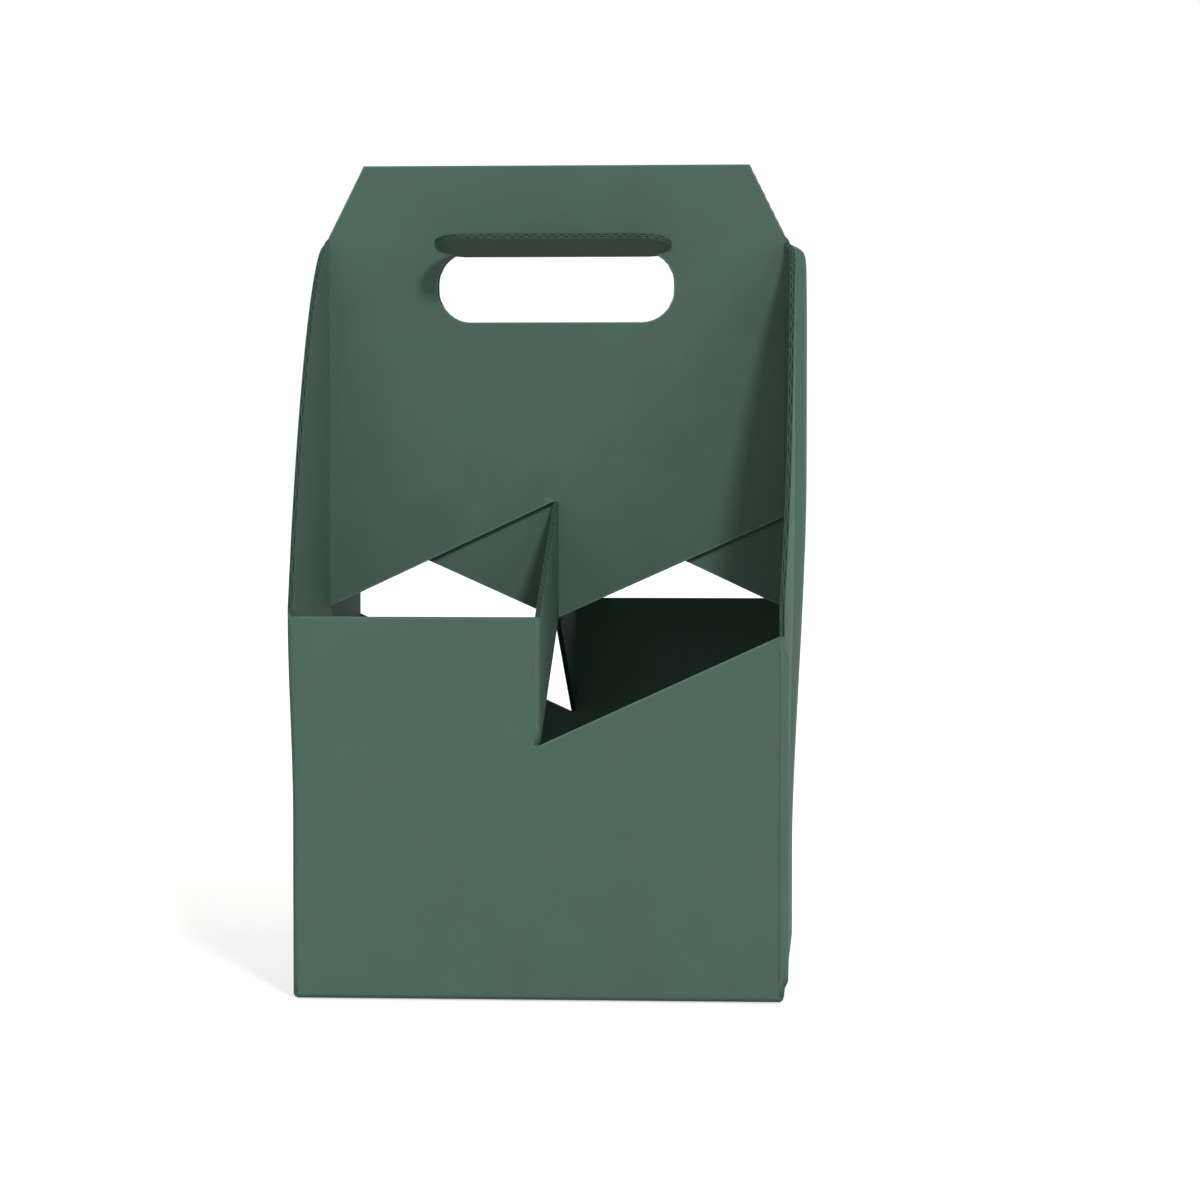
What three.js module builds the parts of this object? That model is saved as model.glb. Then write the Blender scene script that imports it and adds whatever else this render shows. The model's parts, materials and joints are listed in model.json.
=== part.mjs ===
// A carrier with four cells, folded from corrugated board and glued. Millimetres, +Z up, front at -Y.
// The rear half is the front half turned half a turn about Z, as two equal blanks glued back to back.
import * as THREE from 'three';

// Board and outer size
const BOARD = 2.0;
const WIDTH = 185;
const DEPTH = 185;
const HEIGHT = 319;
const FIT = 0.25;
const PLY_GAP = 1.0;

// Handle panel
const SHOULDER_Z = 291;
const CHAMFER_WIDTH = 14;
const SLOT_WIDTH = 94;
const SLOT_BOTTOM_Z = 257;
const SLOT_TOP_Z = 285;
const SLOT_RADIUS = 13;
const FLAP_KERF = 0.5;
const FLAP_ANGLE = 102;

// Slanted cuts that part the walls, dividers and handle panel
const WALL_TOP_Z = 144;
const WALL_NOTCH_Z = 96;
const WALL_RIGHT_Z = 137;
const DIVIDER_LOW_Z = 139;
const DIVIDER_HIGH_Z = 186;
const PANEL_RIGHT_Z = 180;
const CUT_KERF = 0.8;

// Gusset edge, as distance from the middle and height
const GUSSET_TOP_Z = 288;
const GUSSET_CONTROL = [47.75, 274.5];
const GUSSET_FRONT_Z = 147;
const GUSSET_TAIL = 1.5;
const GUSSET_TAIL_Z = 126;

// Base, seams and glue
const TONGUE_WIDTH = 30;
const TONGUE_LENGTH = 12;
const TONGUE_X = 50;
const TONGUE_SIDE_GAP = 3;
const SEAM_WIDTH = 28;
const SEAM_BOARD = 1.0;
const SEAM_BOTTOM_Z = 8;
const SEAM_FRONT_Z = 128;
const SEAM_SLOPE = 12;
const TAB_WIDTH = 28;
const TAB_BOTTOM_Z = 190;
const TAB_TOP_Z = 284;
const GLUE_THICKNESS = 0.4;
const BEAD_WIDTH = 4;
const BEADS = [
  { name: 'upper_glue_bead', z: 306, length: 120 },
  { name: 'middle_glue_bead', z: 246, length: 90 },
  { name: 'lower_glue_bead', z: 226, length: 90 },
];

// Worked out from the above
const innerX = WIDTH / 2 - BOARD;
const innerY = DEPTH / 2 - BOARD;
const plyBack = PLY_GAP / 2;
const plyFace = PLY_GAP / 2 + BOARD;
const creaseX = -BOARD / 2;

const green = new THREE.MeshStandardMaterial({ color: 0x4d675b, roughness: 0.85, metalness: 0 });
const shadedGreen = new THREE.MeshStandardMaterial({ color: 0x445a50, roughness: 0.85, metalness: 0 });
const hotMelt = new THREE.MeshStandardMaterial({ color: 0xd8cfae, roughness: 0.4, metalness: 0 });

function polygon(points) {
  return new THREE.Shape(points.map(([x, y]) => new THREE.Vector2(x, y)));
}

function board(shape, thickness = BOARD) {
  return new THREE.ExtrudeGeometry(shape, { depth: thickness, bevelEnabled: false, curveSegments: 6 });
}

// A standing board seen from the front: the shape's height becomes Z, the board lies behind y = 0 to -Y
function facingBoard(shape, thickness = BOARD) {
  return board(shape, thickness).rotateX(Math.PI / 2);
}

// A standing board seen from the side: the shape runs forward from the middle, the board lies to -X
function sideBoard(shape, thickness = BOARD) {
  return facingBoard(shape, thickness).rotateZ(-Math.PI / 2);
}

function piece(name, geometry, material, x = 0, y = 0, z = 0) {
  const mesh = new THREE.Mesh(geometry, material);
  mesh.name = name;
  mesh.position.set(x, y, z);
  return mesh;
}

// The hand slot's outline, drawn from its straight top edge down, grown or shrunk by the kerf
function slotOutline(path, top, kerf) {
  const half = SLOT_WIDTH / 2 - kerf;
  const bottom = SLOT_BOTTOM_Z + kerf;
  const radius = SLOT_RADIUS - kerf;
  path.moveTo(-half + radius, top);
  path.absarc(-half + radius, top - radius, radius, Math.PI / 2, Math.PI, false);
  path.absarc(-half + radius, bottom + radius, radius, Math.PI, 1.5 * Math.PI, false);
  path.absarc(half - radius, bottom + radius, radius, 1.5 * Math.PI, 2 * Math.PI, false);
  path.absarc(half - radius, top - radius, radius, 0, Math.PI / 2, false);
  path.closePath();
  return path;
}

function handlePanel(name) {
  const edge = innerX - FIT;
  const topHalf = innerX - CHAMFER_WIDTH;
  const shape = polygon([
    [-edge, WALL_TOP_Z], [creaseX, DIVIDER_HIGH_Z], [creaseX, DIVIDER_LOW_Z], [edge, PANEL_RIGHT_Z],
    [edge, SHOULDER_Z], [topHalf, HEIGHT], [-topHalf, HEIGHT], [-edge, SHOULDER_Z],
  ]);
  shape.holes.push(slotOutline(new THREE.Path(), SLOT_TOP_Z, 0));
  return piece(name, facingBoard(shape), green, 0, -plyBack, 0);
}

// The hand flap is the slot's cut-out, hinged on its top edge and folded out and up to the front
function handleFlap(name) {
  const shape = slotOutline(new THREE.Shape(), SLOT_TOP_Z - FIT, FLAP_KERF);
  const geometry = facingBoard(shape).translate(0, BOARD, -SLOT_TOP_Z);
  const pivot = new THREE.Group();
  pivot.position.set(0, -plyFace, SLOT_TOP_Z);
  pivot.rotation.x = -THREE.MathUtils.degToRad(FLAP_ANGLE);
  pivot.add(piece(name, geometry, shadedGreen));
  return pivot;
}

function wall(name) {
  const edge = innerX - FIT;
  const notch = creaseX - FIT;
  const bottom = BOARD + FIT;
  const shape = polygon([
    [-edge, bottom], [edge, bottom], [edge, WALL_RIGHT_Z], [notch, WALL_NOTCH_Z],
    [notch, WALL_TOP_Z], [-edge, WALL_TOP_Z],
  ]);
  return piece(name, facingBoard(shape), green, 0, -innerY, 0);
}

// Below the handle panels each gusset's tail reaches back towards the gusset behind it
function gusset(name, x) {
  const shape = new THREE.Shape();
  const back = plyFace + FIT;
  const front = innerY - FIT;
  const tail = plyFace - GUSSET_TAIL;
  const bottom = BOARD + FIT;
  shape.moveTo(tail, bottom);
  shape.lineTo(front, bottom);
  shape.lineTo(front, GUSSET_FRONT_Z);
  shape.quadraticCurveTo(GUSSET_CONTROL[0], GUSSET_CONTROL[1], back, GUSSET_TOP_Z);
  shape.lineTo(back, GUSSET_TAIL_Z);
  shape.lineTo(tail, GUSSET_TAIL_Z);
  shape.closePath();
  return piece(name, sideBoard(shape), green, x, 0, 0);
}

// The glued strip on the front wall's right edge, folded round the corner outside the gusset
function seamFlap(name) {
  const front = innerY - FIT;
  const shape = polygon([
    [front - SEAM_WIDTH, SEAM_BOTTOM_Z + SEAM_SLOPE], [front, SEAM_BOTTOM_Z], [front, SEAM_FRONT_Z],
    [front - SEAM_WIDTH, SEAM_FRONT_Z - SEAM_SLOPE],
  ]);
  return piece(name, sideBoard(shape, SEAM_BOARD), green, innerX + BOARD + 2 * FIT + SEAM_BOARD, 0, 0);
}

function divider(name) {
  const shape = polygon([
    [plyFace + FIT, DIVIDER_LOW_Z + CUT_KERF], [innerY - FIT, WALL_NOTCH_Z + CUT_KERF],
    [innerY - FIT, WALL_TOP_Z], [plyFace + FIT, DIVIDER_HIGH_Z],
  ]);
  return piece(name, sideBoard(shape), green, -creaseX, 0, 0);
}

// Each base flap's tongue lies in the other flap's notch
function baseFlap(name) {
  const half = innerX - FIT;
  const hinge = -innerY + FIT;
  const tip = -FIT - plyBack;
  const tongue = TONGUE_WIDTH / 2;
  const notch = tongue + TONGUE_SIDE_GAP;
  const notchDepth = tip - TONGUE_LENGTH - TONGUE_SIDE_GAP;
  const shape = polygon([
    [-half, hinge], [half, hinge], [half, tip],
    [TONGUE_X + notch, tip], [TONGUE_X + notch, notchDepth],
    [TONGUE_X - notch, notchDepth], [TONGUE_X - notch, tip],
    [-TONGUE_X + tongue, tip], [-TONGUE_X + tongue, tip + TONGUE_LENGTH],
    [-TONGUE_X - tongue, tip + TONGUE_LENGTH], [-TONGUE_X - tongue, tip],
    [-half, tip],
  ]);
  return piece(name, board(shape), shadedGreen);
}

// The gusset's crushed tab, glued between the two handle panels
function gussetTab(name) {
  const edge = innerX - FIT;
  const shape = polygon([
    [-edge, TAB_BOTTOM_Z], [-edge + TAB_WIDTH, TAB_BOTTOM_Z],
    [-edge + TAB_WIDTH, TAB_TOP_Z], [-edge, TAB_TOP_Z],
  ]);
  return piece(name, facingBoard(shape, GLUE_THICKNESS), shadedGreen, 0, GLUE_THICKNESS / 2, 0);
}

function glueBead({ name, z, length }) {
  return piece(name, new THREE.BoxGeometry(length, GLUE_THICKNESS, BEAD_WIDTH), hotMelt, 0, 0, z);
}

function half(side) {
  const group = new THREE.Group();
  group.add(handlePanel(`${side}_handle_panel`));
  group.add(handleFlap(`${side}_handle_flap`));
  group.add(wall(`${side}_wall`));
  group.add(gusset(`${side}_left_gusset`, -innerX));
  group.add(gusset(`${side}_right_gusset`, innerX + BOARD));
  group.add(seamFlap(`${side}_seam_flap`));
  group.add(divider(`${side}_divider`));
  group.add(baseFlap(`${side}_base_flap`));
  group.add(gussetTab(`${side}_gusset_tab`));
  return group;
}

const carrier = new THREE.Group();
carrier.name = 'wine_bottle_carrier';
const rear = half('rear');
rear.rotation.z = Math.PI;
carrier.add(half('front'));
carrier.add(rear);
carrier.add(...BEADS.map(glueBead));

export default carrier;
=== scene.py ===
# %% [markdown]
# # A folded carrier of corrugated board
# The carrier is made of two equal die-cut blanks, folded and glued back to back, so nearly every
# piece here is a flat board between two creases. The CAD frame says where each board lies and what
# it moves with. This script gives each board its two paper liners, its fluted middle sheet, its cut
# edges and its rounded folds, and then sets the light and the camera.

# %% Load the frame
import json
import math
import bmesh
import bpy
import numpy as np
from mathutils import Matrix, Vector
from mathutils.geometry import delaunay_2d_cdt


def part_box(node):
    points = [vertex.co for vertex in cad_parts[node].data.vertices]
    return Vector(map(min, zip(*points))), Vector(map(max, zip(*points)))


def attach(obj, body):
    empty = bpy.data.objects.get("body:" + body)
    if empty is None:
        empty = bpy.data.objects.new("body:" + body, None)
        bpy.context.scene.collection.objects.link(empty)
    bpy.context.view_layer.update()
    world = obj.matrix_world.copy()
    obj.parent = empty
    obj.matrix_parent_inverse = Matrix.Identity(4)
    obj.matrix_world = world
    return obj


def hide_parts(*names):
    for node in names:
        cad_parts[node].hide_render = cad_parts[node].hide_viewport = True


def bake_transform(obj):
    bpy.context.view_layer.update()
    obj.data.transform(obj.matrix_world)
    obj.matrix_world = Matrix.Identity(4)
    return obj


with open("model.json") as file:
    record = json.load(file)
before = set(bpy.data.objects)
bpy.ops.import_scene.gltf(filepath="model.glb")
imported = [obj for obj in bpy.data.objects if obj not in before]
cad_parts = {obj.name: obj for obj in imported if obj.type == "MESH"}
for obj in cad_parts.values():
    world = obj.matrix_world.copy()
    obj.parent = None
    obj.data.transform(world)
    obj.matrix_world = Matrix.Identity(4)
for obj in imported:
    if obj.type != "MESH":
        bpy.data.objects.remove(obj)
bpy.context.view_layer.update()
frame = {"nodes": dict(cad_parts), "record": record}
MM = 0.001

# %% [markdown]
# The camera comes first, because every later choice is judged through it. Its place was worked out
# from the corners of the carrier in the photograph: nearly level with the middle of the handle
# panel, a little to the right, and far away with a long lens, so there is no need for lens shift.

# %% Camera
CAMERA_PLACE = (118 * MM, -1488 * MM, 207.5 * MM)
CAMERA_YAW = math.radians(3.87)
CAMERA_PITCH = math.radians(-2.355)
FOCAL_PIXELS = 3750
FRAME_PIXELS = 1203
SENSOR = 36.0

camera_data = bpy.data.cameras.new("camera")
camera_data.sensor_width = SENSOR
camera_data.lens = FOCAL_PIXELS / FRAME_PIXELS * SENSOR
camera = bpy.data.objects.new("camera", camera_data)
bpy.context.collection.objects.link(camera)
camera.location = CAMERA_PLACE
camera.rotation_euler = (math.pi / 2 + CAMERA_PITCH, 0, CAMERA_YAW)
bpy.context.scene.camera = camera
print("lens:", round(camera_data.lens, 1), "mm")

# %% [markdown]
# Sizes that the boards share are read from the frame, so a board always lies where its CAD solid
# lies. The slanted cuts and the hand slot can't be read from a box, so they are named here. All
# of these are in millimetres.

# %% Sizes
def extent(node):
    low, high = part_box(node)
    return [v / MM for v in low], [v / MM for v in high]


wall_low, wall_high = extent("front_wall")
panel_low, panel_high = extent("front_handle_panel")
gusset_low, gusset_high = extent("front_left_gusset")
seam_low, seam_high = extent("front_seam_flap")

BOARD = wall_high[1] - wall_low[1]
INNER_X = -gusset_high[0]
INNER_Y = -wall_high[1]
PLY_FACE = -panel_low[1]
HEIGHT = panel_high[2]
WALL_TOP = wall_high[2]
DIVIDER_HIGH = extent("front_divider")[1][2]
GUSSET_TOP = gusset_high[2]
GUSSET_BOTTOM = gusset_low[2]
TONGUE_TIP = extent("front_base_flap")[1][1]
CREASE_X = -BOARD / 2

SHOULDER_Z = 291
CHAMFER = 14
WALL_NOTCH = 96
WALL_RIGHT = 137
DIVIDER_LOW = 139
PANEL_RIGHT = 180
GUSSET_FRONT = 147
GUSSET_CONTROL = (47.75, 274.5)
GUSSET_TAIL = 0.03
PLY_SEAM = 0.01
TAIL_GAP = 0.5
SLOT_HALF = 47
SLOT_BOTTOM = 257
SLOT_TOP = 285
SLOT_RADIUS = 13
FLAP_KERF = 0.5
joints = {joint["name"]: joint for joint in frame["record"]["behaviour"]["joints"]}
FLAP_ANGLE = math.radians(-joints["handle_flap_swing"]["range_deg"][0])
print("board", round(BOARD, 2), "mm, inside", round(2 * INNER_X, 1), "by", round(2 * INNER_Y, 1), "mm")

# %% [markdown]
# Printed testliner is the paper on both faces of the board: smooth recycled paper with a thin
# matte flood of green ink. Close up it shows soft clouds in the ink, short paper fibres, and a
# faint trace of the flutes under it. The ink is dull, so highlights are broad and weak.

# %% Node helpers
def linear(code):
    channels = [int(code[i:i + 2], 16) / 255 for i in (1, 3, 5)]
    return [c / 12.92 if c <= 0.04045 else ((c + 0.055) / 1.055) ** 2.4 for c in channels] + [1.0]


def add(tree, kind, inputs=None, **settings):
    made = tree.nodes.new(kind)
    for key, value in settings.items():
        setattr(made, key, value)
    for key, value in (inputs or {}).items():
        if isinstance(value, bpy.types.NodeSocket):
            tree.links.new(value, made.inputs[key])
        else:
            made.inputs[key].default_value = value
    return made


def new_material(name):
    material = bpy.data.materials.new(name)
    material.use_nodes = True
    tree = material.node_tree
    tree.nodes.clear()
    return material, tree


def per(size):
    return 1 / (size * MM)


def noise(tree, place, scale, detail):
    settings = {"Vector": place, "Scale": scale, "Detail": detail}
    return add(tree, "ShaderNodeTexNoise", settings).outputs["Fac"]


def spread(tree, value, low, high):
    return add(tree, "ShaderNodeMapRange", {"Value": value, "To Min": low, "To Max": high}).outputs[0]


def times(tree, first, second):
    return add(tree, "ShaderNodeMath", {0: first, 1: second}, operation="MULTIPLY").outputs[0]


def ramp(tree, factor, colours, stops):
    made = add(tree, "ShaderNodeValToRGB", {"Fac": factor})
    for element, colour, stop in zip(made.color_ramp.elements, colours, stops):
        element.position = stop
        element.color = linear(colour)
    return made.outputs["Color"]


def bump(tree, height, strength, depth, **inputs):
    settings = {"Height": height, "Strength": strength, "Distance": depth * MM, **inputs}
    return add(tree, "ShaderNodeBump", settings).outputs[0]


FLUTE_PITCH = 3.5
FIBRE_LENGTH = 5.0
FIBRE_WIDTH = 0.7
# At a scale of one, the wave texture repeats after this length
WAVE_PERIOD = math.pi / 10
PAPER_IOR = 1.45
SOFT_STOPS = (0.3, 0.7)


# %% Printed green testliner
INK = ("#455c52", "#476055")
RUBBED_INK = "#677f73"
CLOUD_SIZE = 22
BLOTCH_SIZE = 4.5
BLOTCH_TONES = (0.96, 1.03)
FIBRE_TONES = (0.95, 1.05)
FLUTE_TONES = (0.994, 1.004)
DULLNESS = (0.72, 0.86)
SHOW_THROUGH = 0.12
TOOTH = 0.25
TOOTH_DEPTH = 0.05
INK_SHEEN = 0.18


def printed_testliner():
    material, tree = new_material("printed_green_testliner")
    place = add(tree, "ShaderNodeUVMap", uv_map="board").outputs["UV"]
    cloud = noise(tree, place, per(CLOUD_SIZE), detail=4)
    blotch = noise(tree, place, per(BLOTCH_SIZE), detail=3)
    grain = (per(FIBRE_LENGTH), per(FIBRE_WIDTH), 1)
    along = add(tree, "ShaderNodeVectorMath", {0: place, 1: grain}, operation="MULTIPLY").outputs[0]
    fibre = noise(tree, along, 1, detail=5)
    waves = {"Vector": place, "Scale": WAVE_PERIOD * per(FLUTE_PITCH)}
    flute = add(tree, "ShaderNodeTexWave", waves).outputs["Fac"]
    wear = add(tree, "ShaderNodeAttribute", attribute_name="wear").outputs["Fac"]

    tone = times(tree, spread(tree, blotch, *BLOTCH_TONES), spread(tree, fibre, *FIBRE_TONES))
    tone = times(tree, tone, spread(tree, flute, *FLUTE_TONES))
    ink = ramp(tree, cloud, INK, SOFT_STOPS)
    shaded = add(tree, "ShaderNodeVectorMath", {0: ink, 3: tone}, operation="SCALE").outputs[0]
    mixed = {"Factor": times(tree, wear, fibre), "A": shaded, "B": linear(RUBBED_INK)}
    colour = add(tree, "ShaderNodeMix", mixed, data_type="RGBA").outputs["Result"]

    press = bump(tree, flute, SHOW_THROUGH, TOOTH_DEPTH)
    tooth = bump(tree, fibre, TOOTH, TOOTH_DEPTH, Normal=press)
    paper = add(tree, "ShaderNodeBsdfPrincipled", {
        "Base Color": colour, "Roughness": spread(tree, blotch, *DULLNESS), "IOR": PAPER_IOR,
        "Specular IOR Level": INK_SHEEN, "Normal": tooth})
    add(tree, "ShaderNodeOutputMaterial", {"Surface": paper.outputs[0]})
    return material


# %% Raw cut paper, on the flutes and the die-cut edges
# The fluting isn't printed, and a cutting rule tears its fibres, so the edge is dark, dry and fuzzy.
PULP = ("#2f4239", "#394e44")
FUZZ = 0.4
FUZZ_DEPTH = 0.08
RAW_ROUGHNESS = 0.92
RAW_SHEEN = 0.15


def raw_paper():
    material, tree = new_material("raw_fluting_paper")
    place = add(tree, "ShaderNodeTexCoord").outputs["Object"]
    fibre = noise(tree, place, per(FIBRE_WIDTH), detail=4)
    paper = add(tree, "ShaderNodeBsdfPrincipled", {
        "Base Color": ramp(tree, fibre, PULP, SOFT_STOPS), "Roughness": RAW_ROUGHNESS, "IOR": PAPER_IOR,
        "Specular IOR Level": RAW_SHEEN, "Normal": bump(tree, fibre, FUZZ, FUZZ_DEPTH)})
    add(tree, "ShaderNodeOutputMaterial", {"Surface": paper.outputs[0]})
    return material


# %% Hot-melt glue, between the two handle panels
# The glue was laid down molten, so it set with a smooth skin that is slightly rippled.
AMBER = ("#cfc49c", "#e2dac0")
RIPPLE_SIZE = 3
RIPPLE = 0.3
RIPPLE_DEPTH = 0.2
GLUE_ROUGHNESS = 0.38
GLUE_IOR = 1.5


def hot_melt():
    material, tree = new_material("hot_melt_glue")
    place = add(tree, "ShaderNodeTexCoord").outputs["Object"]
    ripple = noise(tree, place, per(RIPPLE_SIZE), detail=2)
    glue = add(tree, "ShaderNodeBsdfPrincipled", {
        "Base Color": ramp(tree, ripple, AMBER, (0, 1)), "Roughness": GLUE_ROUGHNESS, "IOR": GLUE_IOR,
        "Normal": bump(tree, ripple, RIPPLE, RIPPLE_DEPTH)})
    add(tree, "ShaderNodeOutputMaterial", {"Surface": glue.outputs[0]})
    return material


LINER_PAPER = printed_testliner()
RAW_PAPER = raw_paper()
GLUE = hot_melt()
print("materials:", [m.name for m in (LINER_PAPER, RAW_PAPER, GLUE)])

# %% [markdown]
# A corrugated board is three sheets of paper: two flat liners and a wavy sheet between them, whose
# flutes show on every cut edge. Here a board is drawn flat as an outline, with s across the flutes
# and h along them. The liners are triangulated inside the outline, the fluted sheet is a row of
# strips from the outline's lower edge to its upper edge, and one Solidify modifier gives all three
# their thickness. A function then places the flat board in the frame.

# %% Outlines
LINER = 0.45
FLUTE_SHEET = 0.75
EDGE_STEP = 5.0
FIELD_STEP = 9.0
WORN_BAND = 0.9
FLUTE_STEPS = 6
FLUTE_ROWS = 5
ARC_POINTS = 10
CURVE_POINTS = 100
TINY = 1e-9


def arc(centre, radius, start, end):
    angles = np.radians(np.linspace(start, end, ARC_POINTS))
    return [(centre[0] + radius * math.cos(a), centre[1] + radius * math.sin(a)) for a in angles]


def bend(first, control, last):
    t = np.linspace(0, 1, CURVE_POINTS)[:, None]
    spots = (1 - t) ** 2 * np.array(first) + 2 * t * (1 - t) * np.array(control) + t * t * np.array(last)
    return [tuple(spot) for spot in spots.tolist()]


def stepped(loop):
    spots = []
    for (s0, h0), (s1, h1) in zip(loop, loop[1:] + loop[:1]):
        count = max(1, math.ceil(math.hypot(s1 - s0, h1 - h0) / EDGE_STEP))
        spots += [(s0 + (s1 - s0) * i / count, h0 + (h1 - h0) * i / count) for i in range(count)]
    return np.array(spots)


def edges_of(loops):
    return np.concatenate(loops), np.concatenate([np.roll(loop, -1, axis=0) for loop in loops])


def crossings(loops, s):
    first, last = edges_of(loops)
    crossed = (first[:, 0] <= s) != (last[:, 0] <= s)
    first, last = first[crossed], last[crossed]
    share = (s - first[:, 0]) / (last[:, 0] - first[:, 0])
    return np.sort(first[:, 1] + share * (last[:, 1] - first[:, 1]))


def inside(loops, s, h):
    return np.sum(crossings(loops, s) > h) % 2 == 1


def gap_to_edge(loops, s, h):
    first, last = edges_of(loops)
    run = last - first
    share = np.clip((((s, h) - first) * run).sum(1) / np.maximum((run * run).sum(1), TINY), 0, 1)
    return np.hypot(*(first + run * share[:, None] - (s, h)).T).min()


# %% Liners and flutes
BAND_ROOM = 0.8
FIELD_ROOM = 1 / 3
MERGE = 1e-5
NARROWEST = 0.02
NUDGE = 1e-4


def liner_sheet(loops, columns, row_step):
    """Triangles inside the outline: the edge's own points, a band just inside it, and a field of points."""
    spots, edges = [], []
    for loop in loops:
        first = len(spots)
        spots += loop.tolist()
        edges += [(first + i, first + (i + 1) % len(loop)) for i in range(len(loop))]
    rim = len(spots)
    for loop in loops:
        tangent = np.roll(loop, -1, axis=0) - np.roll(loop, 1, axis=0)
        normal = np.stack([-tangent[:, 1], tangent[:, 0]], 1)
        normal /= np.maximum(np.hypot(*normal.T), TINY)[:, None]
        for side in (WORN_BAND, -WORN_BAND):
            for s, h in loop + normal * side:
                if inside(loops, s, h) and gap_to_edge(loops, s, h) > BAND_ROOM * WORN_BAND:
                    spots.append((s, h))
    clear = FIELD_ROOM * min(row_step, np.diff(columns).min())
    heights = loops[0][:, 1]
    for s in columns:
        for h in np.arange(heights.min() + row_step / 2, heights.max(), row_step):
            if inside(loops, s, h) and gap_to_edge(loops, s, h) > clear:
                spots.append((s, h))
    made = delaunay_2d_cdt([Vector(p) for p in spots], edges, [], 0, MERGE)
    points = np.array([tuple(p) for p in made[0]])
    worn = np.array([any(o < rim for o in origins) for origins in made[3]])
    faces = []
    for face in made[2]:
        middle = points[list(face)].mean(0)
        if inside(loops, middle[0], middle[1]):
            faces.append(tuple(face))
    return points, faces, worn


def fluted_sheet(loops):
    """Strips along the flutes, with enough of them across each flute to draw its wave."""
    points, faces = [], []
    marks = sorted({round(s, 3) for loop in loops for s, h in loop})
    for left, right in zip(marks, marks[1:]):
        if right - left < NARROWEST:
            continue
        count = max(1, math.ceil((right - left) / (FLUTE_PITCH / FLUTE_STEPS)))
        columns = np.linspace(left, right, count + 1)
        limits = [crossings(loops, min(max(s, left + NUDGE), right - NUDGE)) for s in columns]
        for k in range(0, len(limits[0]) - 1, 2):
            first = len(points)
            for s, heights in zip(columns, limits):
                points += [(s, h) for h in np.linspace(heights[k], heights[k + 1], FLUTE_ROWS + 1)]
            for c in range(count):
                for r in range(FLUTE_ROWS):
                    corner = first + c * (FLUTE_ROWS + 1) + r
                    faces.append((corner, corner + FLUTE_ROWS + 1, corner + FLUTE_ROWS + 2, corner + 1))
    return np.array(points), faces


# %% [markdown]
# Boards and folds are both paper, so one function makes the mesh of either. A carrier that has
# been filled isn't quite square any more: the top of its front left corner has been pushed out a
# little, and this function leans every point near that corner by the same rule, so that nothing
# opens up.

# %% Paper meshes
LEAN = 1.8
LEAN_FROM = 70
LEAN_FALL = 1.5


def smooth(value, low, high):
    t = np.clip((value - low) / (high - low), 0, 1)
    return t * t * (3 - 2 * t)


def leaned(points):
    x, y, z = points.T
    near = (np.clip(-x / INNER_X, 0, 1) * np.clip(-y / INNER_Y, 0, 1)) ** LEAN_FALL
    return points - np.outer(LEAN * near * smooth(z, LEAN_FROM, WALL_TOP), (1, 0, 0))


def paper_piece(name, points, faces, papers, chart, worn):
    mesh = bpy.data.meshes.new(name)
    mesh.from_pydata((leaned(points) * MM).tolist(), [], faces)
    mesh.materials.append(LINER_PAPER)
    mesh.materials.append(RAW_PAPER)
    mesh.polygons.foreach_set("material_index", papers)
    mark = mesh.attributes.new("wear", "FLOAT", "POINT")
    mark.data.foreach_set("value", np.array(worn, np.float32))
    layer = mesh.uv_layers.new(name="board")
    for loop in mesh.loops:
        layer.data[loop.index].uv = chart[loop.vertex_index]
    piece = bpy.data.objects.new(name, mesh)
    bpy.context.collection.objects.link(piece)
    return piece


# %% Boards
BOARD_SHIFT = 110
SHARP = math.radians(35)
FOLD_REACH = 0.3
LEAST_THROW = 0.02
boards_made = []


def board(name, loops, origin, along, up, out, thickness=BOARD, folds=(), bow=None, columns=None,
          row_step=FIELD_STEP):
    """Make a corrugated board from its flat outline; folds are (axis, value) lines that aren't cut edges."""
    loops = [stepped(loop) for loop in loops]
    if columns is None:
        columns = np.arange(loops[0][:, 0].min() + FIELD_STEP / 2, loops[0][:, 0].max(), FIELD_STEP)
    flat, triangles, worn = liner_sheet(loops, columns, row_step)
    wave, strips = fluted_sheet(loops)
    for axis, value in folds:
        worn &= np.abs(flat[:, axis] - value) > FOLD_REACH
    throw = max(thickness / 2 - LINER - FLUTE_SHEET / 2, LEAST_THROW)
    depth = thickness / 2 + throw * np.sin(2 * math.pi * wave[:, 0] / FLUTE_PITCH)
    spots = np.concatenate([flat, flat, wave])
    level = np.full(len(flat), LINER / 2)
    deep = np.concatenate([level, thickness - level, depth])
    if bow:
        deep = deep + bow(spots[:, 0], spots[:, 1])
    points = np.array(origin, float) + np.column_stack([spots, deep]) @ np.array([along, up, out], float)
    faces, papers = [], []
    for layer, sheet in enumerate((triangles, triangles, strips)):
        faces += [tuple(i + layer * len(flat) for i in face) for face in sheet]
        papers += [int(layer == 2)] * len(sheet)
    chart = (spots + (BOARD_SHIFT * len(boards_made), 0)) * MM
    worn = np.concatenate([worn, worn, np.zeros(len(wave))])
    piece = paper_piece(name, points, faces, papers, chart, worn)
    sheets = piece.vertex_groups.new(name="sheets")
    sheets.add(list(range(2 * len(flat))), LINER / FLUTE_SHEET, "REPLACE")
    sheets.add(list(range(2 * len(flat), len(spots))), 1.0, "REPLACE")
    paper = piece.modifiers.new("paper", "SOLIDIFY")
    paper.vertex_group = sheets.name
    paper.thickness = FLUTE_SHEET * MM
    paper.offset = 0
    paper.material_offset_rim = 1
    thickened = piece.evaluated_get(bpy.context.evaluated_depsgraph_get())
    solid = bpy.data.meshes.new_from_object(thickened)
    piece.modifiers.clear()
    piece.vertex_groups.clear()
    piece.data = solid
    solid.shade_smooth()
    solid.set_sharp_from_angle(angle=SHARP)
    boards_made.append(piece)
    return piece


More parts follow.
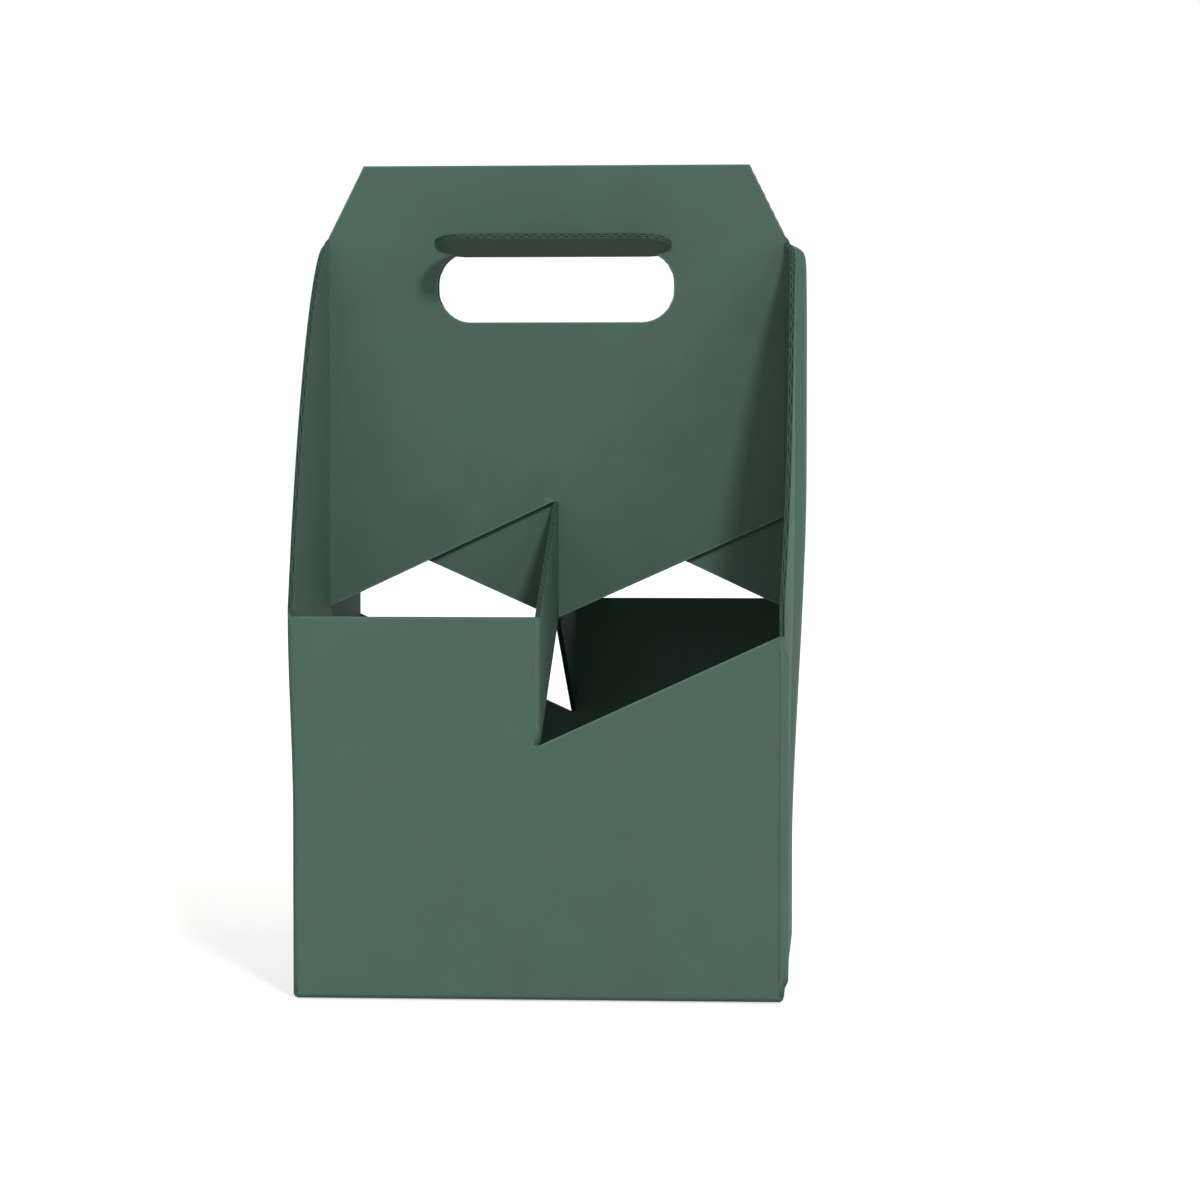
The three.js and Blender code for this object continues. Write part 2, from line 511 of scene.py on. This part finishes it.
# %% [markdown]
# A crease is where the board was crushed by a rule and bent. The outer liner runs round the bend in
# a small radius, about the board's own thickness. Each fold here is a bent strip about the hinge
# line. Where two boards are joined by a hinge the strip is made whole and stays where it is drawn.
# Where the linkage is left open it is made in two halves, one on each board.

# %% Folds
FOLD_STEPS = 8
FOLD_ROW = 6.0
DIP_ROWS = 6
CAP_ANGLES = np.radians((66, 44, 22))
BENT = (0.985, 0.985)
CRUSHED = (0.42, 0.42)
PRESS = 0.02
PRESS_SWAY = 0.4
PRESS_WAVE = 0.37


def fold(name, axis, along, start, end, low, high, outer=BENT, inner=CRUSHED, part=(0, 1), dip=0.0,
         capped=False):
    """A bent strip about an axis line, from the direction start to the direction end."""
    axis, along, start, end = (np.array(v, float) for v in (axis, along, start, end))
    sweep = math.acos(np.clip(start @ end, -1, 1))
    length = high[0] - low[0]
    rows = math.ceil(length / FLUTE_PITCH * DIP_ROWS) if dip else max(2, math.ceil(length / FOLD_ROW))
    stations = [(r / rows, 0.0, 1.0) for r in range(rows + 1)]
    if capped:
        caps = [(BOARD * math.sin(a), math.cos(a)) for a in CAP_ANGLES]
        stations = ([(0, -reach, size) for reach, size in caps] + stations
                    + [(1, reach, size) for reach, size in reversed(caps)])
    points, chart = [], []
    for share, reach, size in stations:
        for t in np.linspace(*part, FOLD_STEPS + 1):
            facing = (math.sin((1 - t) * sweep) * start + math.sin(t * sweep) * end) / math.sin(sweep)
            bottom, top = (edge[0] + (edge[1] - edge[0]) * t for edge in (low, high))
            place = bottom + (top - bottom) * share + reach
            press = PRESS * (1 + PRESS_SWAY * math.sin(place * PRESS_WAVE))
            press += dip * (1 + math.sin(2 * math.pi * place / FLUTE_PITCH)) / 2
            outside = outer[0] + (outer[1] - outer[0]) * t - press * math.sin(math.pi * t)
            within = inner[0] + (inner[1] - inner[0]) * t
            for radius in (outside, within):
                points.append(axis + along * place + facing * radius * size * BOARD)
                chart.append((place * MM, (radius + t * sweep) * BOARD * MM))
    width = 2 * (FOLD_STEPS + 1)

    def at(r, i, layer):
        return r * width + 2 * i + layer

    faces, papers = [], []
    last = len(stations) - 1
    for r in range(last):
        for i in range(FOLD_STEPS):
            for layer in (0, 1):
                faces.append((at(r, i, layer), at(r, i + 1, layer),
                              at(r + 1, i + 1, layer), at(r + 1, i, layer)))
                papers.append(0)
        for i in (0, FOLD_STEPS):
            faces.append((at(r, i, 0), at(r + 1, i, 0), at(r + 1, i, 1), at(r, i, 1)))
            papers.append(1)
    for r in (0, last):
        for i in range(FOLD_STEPS):
            faces.append((at(r, i, 0), at(r, i + 1, 0), at(r, i + 1, 1), at(r, i, 1)))
            papers.append(1)
    piece = paper_piece(name, np.array(points), faces, papers, chart, np.zeros(len(points)))
    shell = bmesh.new()
    shell.from_mesh(piece.data)
    bmesh.ops.recalc_face_normals(shell, faces=shell.faces)
    shell.to_mesh(piece.data)
    shell.free()
    for face in piece.data.polygons:
        face.use_smooth = face.material_index == 0
    return piece, axis + BOARD * start, axis + BOARD * end


def bend_with(made):
    piece, start, end = made
    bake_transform(piece)


def split_fold(name, first, second, *place, **settings):
    for half, body, part in (("a", first, (0, 0.5)), ("b", second, (0.5, 1))):
        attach(fold(f"{name}_{half}", *place, part=part, **settings)[0], body)


# %% [markdown]
# The rear half is the front half turned half a turn about the upright axis, so each board is made
# once for each half by the same code. A small helper turns a point or a direction for the rear.

# %% Half turn
def turner(side):
    sign = 1 if side == "front" else -1
    return lambda x, y, z: (sign * x, sign * y, z)


def stand_for(piece, node, body):
    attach(piece, body)
    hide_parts(node)


# %% [markdown]
# The handle panel is a ply of board with sloping shoulders and the hand slot. Its lower edge
# follows the two slanted die cuts that also gave the divider and the walls. The CAD leaves room for
# glue between the two plies; here they are pressed together, so that no light shows between them.

# %% Handle panels
def slot_loop(top, kerf):
    half, radius = SLOT_HALF - kerf, SLOT_RADIUS - kerf
    low, high = SLOT_BOTTOM + kerf + radius, top - radius
    return (arc((-half + radius, high), radius, 90, 180) + arc((-half + radius, low), radius, 180, 270)
            + arc((half - radius, low), radius, 270, 360) + arc((half - radius, high), radius, 0, 90))


for side in ("front", "rear"):
    turn = turner(side)
    shoulder = INNER_X - CHAMFER
    outline = [(-INNER_X, WALL_TOP), (CREASE_X, DIVIDER_HIGH), (CREASE_X, DIVIDER_LOW),
               (INNER_X, PANEL_RIGHT), (INNER_X, SHOULDER_Z), (shoulder, HEIGHT), (-shoulder, HEIGHT),
               (-INNER_X, SHOULDER_Z)]
    panel = board(f"{side}_handle_board", [outline, slot_loop(SLOT_TOP, 0)], turn(0, -PLY_SEAM, 0),
                  turn(1, 0, 0), (0, 0, 1), turn(0, -1, 0), thickness=PLY_FACE - PLY_SEAM,
                  folds=((0, -INNER_X), (0, INNER_X), (1, SLOT_TOP)))
    stand_for(panel, f"{side}_handle_panel", "handle")
print("handle boards:", [p.name for p in boards_made])

# %% [markdown]
# The hand flap is the slot's own cut-out, still joined along its top by a crease. Here it is folded
# out and up, so that what shows is its shaded inner face and, along its free edge, the cut flutes.
# The crease is a little longer than the straight part of the slot's top edge.

# %% Hand flaps
CREASE_OVERRUN = 3
CREASE_REACH = SLOT_HALF - SLOT_RADIUS + CREASE_OVERRUN
for side in ("front", "rear"):
    turn = turner(side)
    hinge = turn(0, -PLY_FACE, SLOT_TOP)
    flap_up = turn(0, math.sin(FLAP_ANGLE), math.cos(FLAP_ANGLE))
    flap_back = turn(0, math.cos(FLAP_ANGLE), -math.sin(FLAP_ANGLE))
    loop = [(s, h - SLOT_TOP) for s, h in slot_loop(SLOT_TOP - FLAP_KERF / 2, FLAP_KERF)]
    flap = board(f"{side}_hand_flap_board", [loop], hinge, turn(1, 0, 0), flap_up, flap_back,
                 folds=((1, -FLAP_KERF / 2),))
    stand_for(flap, f"{side}_handle_flap", f"{side}_handle_flap")
    crease = fold(f"{side}_hand_flap_crease", hinge, turn(1, 0, 0), turn(0, 1, 0), flap_back,
                  (-CREASE_REACH, -CREASE_REACH), (CREASE_REACH, CREASE_REACH))
    bend_with(crease)
print("hand flaps folded", round(math.degrees(FLAP_ANGLE)), "degrees from the slot")

# %% [markdown]
# The walls stand at the front and back. The left half of each has a level top. At the middle the
# cut drops to a notch and then climbs to the right.

# %% Walls
for side in ("front", "rear"):
    turn = turner(side)
    outline = [(-INNER_X, BOARD), (INNER_X, BOARD), (INNER_X, WALL_RIGHT), (-CREASE_X, WALL_NOTCH),
               (CREASE_X, WALL_NOTCH), (CREASE_X, WALL_TOP), (-INNER_X, WALL_TOP)]
    wall = board(f"{side}_wall_board", [outline], turn(0, -INNER_Y, 0), turn(1, 0, 0), (0, 0, 1),
                 turn(0, -1, 0), folds=((0, -INNER_X), (0, INNER_X), (1, BOARD), (0, CREASE_X)))
    stand_for(wall, f"{side}_wall", f"{side}_wall")
    split_fold(f"{side}_right_corner_fold", f"{side}_wall", f"{side}_right_gusset",
               turn(INNER_X, -INNER_Y, 0), (0, 0, 1), turn(0, -1, 0), turn(1, 0, 0),
               (BOARD, BOARD), (WALL_RIGHT, WALL_RIGHT))
    split_fold(f"{side}_divider_fold", f"{side}_wall", f"{side}_divider",
               turn(CREASE_X, -INNER_Y, 0), (0, 0, 1), turn(0, -1, 0), turn(1, 0, 0),
               (WALL_NOTCH, WALL_NOTCH), (WALL_TOP, WALL_TOP))
print("walls:", round(WALL_TOP), "mm at the left,", WALL_NOTCH, "mm at the notch")

# %% [markdown]
# The gussets are the tall end panels. Their cut edge curves down from the shoulder of the handle to
# the corner of the wall, and it cuts across the flutes all the way, so the flutes show best here.
# Thin board doesn't stay flat between two creases: each gusset bows out a little, some more than
# others. The bow is fullest just beside the handle and dies away towards the wall and the base.

# %% Gussets
BOWS = {"front_left": 0.6, "front_right": 2.6, "rear_left": 6.4, "rear_right": 1.2}
BOW_FROM, BOW_FULL = 20, 200
BOW_RISE, BOW_FALL = 26, 6
STEEP_TO, STEEP_STEP = 18, 1.0
EASY_FROM, EASY_STEP = 20, 4.0
steep_columns = np.arange(STEEP_STEP / 2, STEEP_TO, STEEP_STEP)
easy_columns = np.arange(EASY_FROM, INNER_Y, EASY_STEP)
BOW_COLUMNS = np.concatenate([steep_columns, easy_columns])


def bowed(most):
    def bow(s, h):
        across = np.clip((s - PLY_FACE) / (INNER_Y - PLY_FACE), 0, 1)
        rise = (1 - (1 - across) ** BOW_RISE) ** 2
        return most * rise * (1 - across ** BOW_FALL) * smooth(h, BOW_FROM, BOW_FULL)
    return bow


for side in ("front", "rear"):
    turn = turner(side)
    for hand, sign, panel_z in (("left", -1, WALL_TOP), ("right", 1, PANEL_RIGHT)):
        tail_z = panel_z - TAIL_GAP
        outline = ([(GUSSET_TAIL, GUSSET_BOTTOM), (INNER_Y, GUSSET_BOTTOM)]
                   + bend((INNER_Y, GUSSET_FRONT), GUSSET_CONTROL, (PLY_FACE, GUSSET_TOP))
                   + [(PLY_FACE, tail_z), (GUSSET_TAIL, tail_z)])
        gusset = board(f"{side}_{hand}_gusset_board", [outline], turn(sign * INNER_X, 0, 0), turn(0, -1, 0),
                       (0, 0, 1), turn(sign, 0, 0), folds=((0, INNER_Y), (0, PLY_FACE)),
                       bow=bowed(BOWS[f"{side}_{hand}"]), columns=BOW_COLUMNS, row_step=EDGE_STEP)
        stand_for(gusset, f"{side}_{hand}_gusset", f"{side}_{hand}_gusset")
        spine = fold(f"{side}_{hand}_handle_fold", turn(sign * INNER_X, -PLY_FACE, 0), (0, 0, 1),
                     turn(0, 1, 0), turn(sign, 0, 0), (panel_z, panel_z), (SHOULDER_Z, GUSSET_TOP))
        bend_with(spine)
    corner = fold(f"{side}_left_corner_fold", turn(-INNER_X, -INNER_Y, 0), (0, 0, 1), turn(-1, 0, 0),
                  turn(0, -1, 0), (BOARD, BOARD), (GUSSET_FRONT, WALL_TOP))
    bend_with(corner)
print("gussets reach", round(GUSSET_TOP), "mm")

# %% [markdown]
# The divider is a slanted strip between the wall and the handle panel that parts two cells.

# %% Dividers
CUT_KERF = 0.5
for side in ("front", "rear"):
    turn = turner(side)
    outline = [(PLY_FACE, DIVIDER_LOW + CUT_KERF), (INNER_Y, WALL_NOTCH + CUT_KERF), (INNER_Y, WALL_TOP),
               (PLY_FACE, DIVIDER_HIGH)]
    strip = board(f"{side}_divider_board", [outline], turn(CREASE_X, 0, 0), turn(0, -1, 0), (0, 0, 1),
                  turn(1, 0, 0), folds=((0, INNER_Y), (0, PLY_FACE)))
    stand_for(strip, f"{side}_divider", f"{side}_divider")
print("dividers rise to", round(DIVIDER_HIGH), "mm")

# %% [markdown]
# Each base flap swings in from its wall's lower edge, and its tongue lies in the other's notch. Its
# flutes run on from the wall's, so here they run from front to back.

# %% Base flaps
TONGUE_X, TONGUE_HALF = 50, 15
TONGUE_GAP = 0.06
BASE_TUCK = 0.7
HEM_DIP = 0.02
for side in ("front", "rear"):
    turn = turner(side)
    edge = INNER_X + BASE_TUCK
    tip = -TONGUE_GAP / 2
    notch = TONGUE_HALF + TONGUE_GAP
    deep = -TONGUE_TIP - TONGUE_GAP
    outline = [(-edge, -INNER_Y), (edge, -INNER_Y), (edge, tip), (TONGUE_X + notch, tip),
               (TONGUE_X + notch, deep), (TONGUE_X - notch, deep), (TONGUE_X - notch, tip),
               (-TONGUE_X + TONGUE_HALF, tip), (-TONGUE_X + TONGUE_HALF, TONGUE_TIP),
               (-TONGUE_X - TONGUE_HALF, TONGUE_TIP), (-TONGUE_X - TONGUE_HALF, tip), (-edge, tip)]
    base = board(f"{side}_base_board", [outline], (0, 0, BOARD), turn(1, 0, 0), turn(0, 1, 0), (0, 0, -1),
                 folds=((1, -INNER_Y),))
    stand_for(base, f"{side}_base_flap", f"{side}_base_flap")
    hem = fold(f"{side}_base_fold", turn(0, -INNER_Y, BOARD), turn(1, 0, 0), turn(0, -1, 0), (0, 0, -1),
               (-INNER_X, -INNER_X), (INNER_X, INNER_X), dip=HEM_DIP, capped=True)
    bend_with(hem)
print("base flaps:", [p.name for p in boards_made[-2:]])

# %% [markdown]
# The seam flap closes each half: a crushed strip at the wall's right edge, glued to the gusset. The
# gusset tabs and the glue lie between the plies, so they keep their CAD shapes and only get paper
# and glue to wear.

# %% Seam flaps, tabs and glue
SEAM_SLOPE = 12
SEAM_OUTER, SEAM_INNER = 1.01, 0.9
for side in ("front", "rear"):
    turn = turner(side)
    far, near = -seam_high[1], -seam_low[1]
    outline = [(far, seam_low[2] + SEAM_SLOPE), (near, seam_low[2]), (near, seam_high[2]),
               (far, seam_high[2] - SEAM_SLOPE)]
    seam = board(f"{side}_seam_board", [outline], turn(seam_low[0], 0, 0), turn(0, -1, 0), (0, 0, 1),
                 turn(1, 0, 0), thickness=seam_high[0] - seam_low[0])
    stand_for(seam, f"{side}_seam_flap", f"{side}_right_gusset")
    split_fold(f"{side}_seam_fold", f"{side}_wall", f"{side}_right_gusset",
               turn(INNER_X, -INNER_Y, 0), (0, 0, 1), turn(0, -1, 0), turn(1, 0, 0),
               (BOARD, seam_low[2]), (WALL_RIGHT, seam_high[2]),
               outer=(SEAM_OUTER, (seam_high[0] - INNER_X) / BOARD),
               inner=(SEAM_INNER, (seam_low[0] - INNER_X) / BOARD))
    tab = frame["nodes"][f"{side}_gusset_tab"]
    tab.data.materials.clear()
    tab.data.materials.append(RAW_PAPER)
for place in ("upper", "middle", "lower"):
    bead = frame["nodes"][f"{place}_glue_bead"]
    bead.data.materials.clear()
    bead.data.materials.append(GLUE)
print("boards in all:", len(boards_made))

# %% [markdown]
# The stage is plain: a pale floor, an even pale surround, and four soft suns. The key stands high
# to the right, so the right gusset throws a slanting shadow on the handle panel. A broad fill near
# the camera opens that shadow, and two more from the side and from behind light what the key
# doesn't reach. The floor is light grey to the lamps and lifted to white for the camera, so that it
# throws little light up at the walls.

# %% Lamps
# A lamp's name, its degrees to the right of the front, its degrees up, its strength and its width in degrees
LAMPS = (
    ("key_lamp", 24, 38, 1.92, 8),
    ("front_fill", -10, 5, 1.0, 60),
    ("side_fill", 68, 25, 1.1, 50),
    ("rear_fill", 200, 35, 1.9, 60),
)
for name, azimuth, height, strength, width in LAMPS:
    lamp_data = bpy.data.lights.new(name, "SUN")
    lamp_data.energy = strength
    lamp_data.angle = math.radians(width)
    lamp = bpy.data.objects.new(name, lamp_data)
    bpy.context.collection.objects.link(lamp)
    turned, raised = math.radians(azimuth), math.radians(height)
    level = math.cos(raised)
    toward = Vector((math.sin(turned) * level, -math.cos(turned) * level, math.sin(raised)))
    lamp.rotation_euler = toward.to_track_quat("Z", "Y").to_euler()
    print(name, "at", azimuth, "degrees to the right and", height, "up")

# %% Floor and surround
SURROUND = 0.24
FLOOR_LIFT = 0.56
FLOOR_COLOUR = "#c8c8c6"
FLOOR_HALF = 6.0
FLOOR_GAP = 0.4
WHITE = (1, 1, 1, 1)


def seen_directly(tree):
    """One where a ray comes from the camera, or by way of something glossy or clear, and zero elsewhere."""
    path = add(tree, "ShaderNodeLightPath").outputs
    seen = path["Is Camera Ray"]
    for way in ("Is Glossy Ray", "Is Transmission Ray"):
        seen = add(tree, "ShaderNodeMath", {0: seen, 1: path[way]}, operation="MAXIMUM").outputs[0]
    return seen


signs = ((-1, -1), (1, -1), (1, 1), (-1, 1))
corners = [(x * FLOOR_HALF, y * FLOOR_HALF, -FLOOR_GAP * MM) for x, y in signs]
floor_mesh = bpy.data.meshes.new("floor")
floor_mesh.from_pydata(corners, [], [(0, 1, 2, 3)])
floor = bpy.data.objects.new("floor", floor_mesh)
bpy.context.collection.objects.link(floor)
pale, tree = new_material("pale_floor")
matt = add(tree, "ShaderNodeBsdfDiffuse", {"Color": linear(FLOOR_COLOUR)})
lift = times(tree, seen_directly(tree), FLOOR_LIFT)
glow = add(tree, "ShaderNodeEmission", {"Color": WHITE, "Strength": lift})
both = add(tree, "ShaderNodeAddShader", {0: matt.outputs[0], 1: glow.outputs[0]})
add(tree, "ShaderNodeOutputMaterial", {"Surface": both.outputs[0]})
floor_mesh.materials.append(pale)

world = bpy.data.worlds.new("pale_surround")
bpy.context.scene.world = world
world.use_nodes = True
sky = world.node_tree
sky.nodes.clear()
brightness = spread(sky, seen_directly(sky), SURROUND, 1)
air = add(sky, "ShaderNodeBackground", {"Color": WHITE, "Strength": brightness})
add(sky, "ShaderNodeOutputWorld", {"Surface": air.outputs[0]})
bpy.context.scene.view_settings.view_transform = "Standard"
print("surround at", SURROUND)
